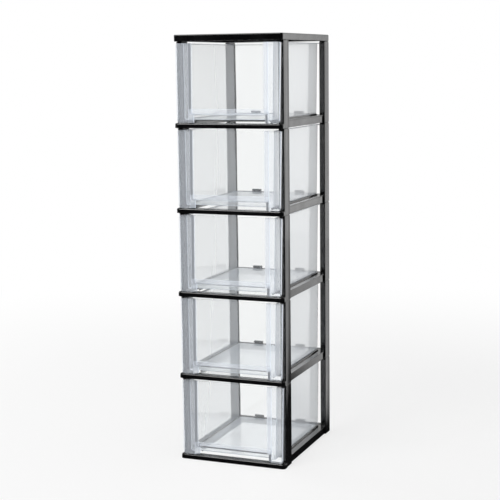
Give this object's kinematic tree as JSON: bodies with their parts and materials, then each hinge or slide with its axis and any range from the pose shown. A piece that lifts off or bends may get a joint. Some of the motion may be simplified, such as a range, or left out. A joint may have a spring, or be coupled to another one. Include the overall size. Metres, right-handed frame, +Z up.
{
  "type": "plastic drawer tower",
  "caption": "Tall, narrow storage tower: clear plastic drawers that slide out of a stacked open frame of black plastic posts, rails and bars, under a flat lid.",
  "frame": {"origin": "on the floor, under the middle of the whole tower with its drawers closed", "axes": "+Z up; -Y towards the front, the way the drawers slide out; +X to the right of someone who faces the front"},
  "size_m": [0.2796, 0.3536, 1.051],
  "materials": {
    "frame_black": "glossy black moulded plastic",
    "lid_black": "glossy black moulded plastic with a fine texture on top",
    "drawer_clear": "clear, slightly hazy moulded plastic, glossy"
  },
  "bodies": {
    "root": {"side_frame_right_1": "frame_black", "side_frame_right_2": "frame_black", "side_frame_right_3": "frame_black", "side_frame_right_4": "frame_black", "side_frame_right_5": "frame_black", "side_frame_left_1": "frame_black", "side_frame_left_2": "frame_black", "side_frame_left_3": "frame_black", "side_frame_left_4": "frame_black", "side_frame_left_5": "frame_black", "front_bar_1": "frame_black", "front_bar_2": "frame_black", "front_bar_3": "frame_black", "front_bar_4": "frame_black", "front_bar_5": "frame_black", "rear_bar_1": "frame_black", "rear_bar_2": "frame_black", "rear_bar_3": "frame_black", "rear_bar_4": "frame_black", "rear_bar_5": "frame_black", "lid": "lid_black"},
    "drawer_1": {"drawer_1": "drawer_clear"},
    "drawer_2": {"drawer_2": "drawer_clear"},
    "drawer_3": {"drawer_3": "drawer_clear"},
    "drawer_4": {"drawer_4": "drawer_clear"},
    "drawer_5": {"drawer_5": "drawer_clear"}
  },
  "joints": [
    {"name": "drawer_1_slide", "type": "slide", "parent": "root", "child": "drawer_1", "axis": [0, -1, 0], "range_m": [0, 0.255]},
    {"name": "drawer_2_slide", "type": "slide", "parent": "root", "child": "drawer_2", "axis": [0, -1, 0], "range_m": [0, 0.255]},
    {"name": "drawer_3_slide", "type": "slide", "parent": "root", "child": "drawer_3", "axis": [0, -1, 0], "range_m": [0, 0.255]},
    {"name": "drawer_4_slide", "type": "slide", "parent": "root", "child": "drawer_4", "axis": [0, -1, 0], "range_m": [0, 0.255]},
    {"name": "drawer_5_slide", "type": "slide", "parent": "root", "child": "drawer_5", "axis": [0, -1, 0], "range_m": [0, 0.255]}
  ]
}
